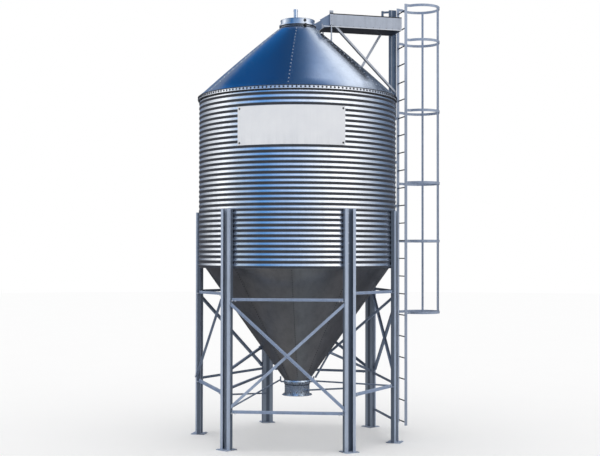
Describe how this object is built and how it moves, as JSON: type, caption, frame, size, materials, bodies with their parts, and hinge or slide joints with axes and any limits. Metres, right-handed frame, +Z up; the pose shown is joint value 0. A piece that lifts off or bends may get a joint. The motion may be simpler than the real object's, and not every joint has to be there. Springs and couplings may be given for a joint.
{
  "type": "hopper-bottom grain bin",
  "caption": "Corrugated steel grain bin with a conical roof and a cone-shaped hopper on braced legs, with a roof catwalk and a caged ladder.",
  "frame": {"origin": "centre of the bounding box at the ground under the feet", "axes": "+Z up; +X toward the side with the ladder and the catwalk; the bin's own axis stands at x = -0.5397, y = -0.0165"},
  "size_m": [5.2641, 4.4766, 9.15],
  "materials": {
    "corrugated_steel": "galvanised, corrugated",
    "roof_steel": "galvanised, smooth, reflecting a blue sky",
    "hopper_steel": "galvanised, dull, in shade",
    "frame_steel": "galvanised",
    "ladder_steel": "galvanised",
    "walkway_steel": "galvanised",
    "sign_sheet": "light grey paint, bare"
  },
  "bodies": {
    "root": {"access_post": "ladder_steel", "boot_tie_b": "frame_steel", "boot_tie_c": "frame_steel", "boot_tie_d": "frame_steel", "brace_ab": "frame_steel", "brace_ea": "frame_steel", "cap_lid": "frame_steel", "catwalk": "walkway_steel", "catwalk_strut_long": "walkway_steel", "catwalk_strut_short": "walkway_steel", "cross_brace_bc": "frame_steel", "cross_brace_df": "frame_steel", "cross_brace_fe": "frame_steel", "cross_tie_be": "frame_steel", "eave_ring": "frame_steel", "hopper_panel_1": "hopper_steel", "hopper_panel_2": "hopper_steel", "hopper_panel_3": "hopper_steel", "hopper_panel_4": "hopper_steel", "hopper_panel_5": "hopper_steel", "hopper_stay_left": "frame_steel", "hopper_stay_right": "frame_steel", "kick_rail_df": "frame_steel", "ladder": "ladder_steel", "ladder_cage": "ladder_steel", "leg_a": "frame_steel", "leg_b": "frame_steel", "leg_c": "frame_steel", "leg_d": "frame_steel", "leg_e": "frame_steel", "leg_f": "frame_steel", "low_rail_ab": "frame_steel", "low_rail_bc": "frame_steel", "low_rail_cd": "frame_steel", "low_rail_df": "frame_steel", "low_rail_ea": "frame_steel", "low_rail_fe": "frame_steel", "low_tie_be": "frame_steel", "neck_ring": "frame_steel", "outlet_boot": "frame_steel", "roof_quarter_1": "roof_steel", "roof_quarter_2": "roof_steel", "roof_quarter_3": "roof_steel", "roof_quarter_4": "roof_steel", "sign_plate": "sign_sheet", "top_rail_ab": "frame_steel", "top_rail_bc": "frame_steel", "top_rail_cd": "frame_steel", "top_rail_df": "frame_steel", "top_rail_ea": "frame_steel", "top_rail_fe": "frame_steel", "wall_lower_back": "corrugated_steel", "wall_lower_front": "corrugated_steel", "wall_middle_back": "corrugated_steel", "wall_middle_front": "corrugated_steel", "wall_upper_back": "corrugated_steel", "wall_upper_front": "corrugated_steel"}
  },
  "joints": []
}
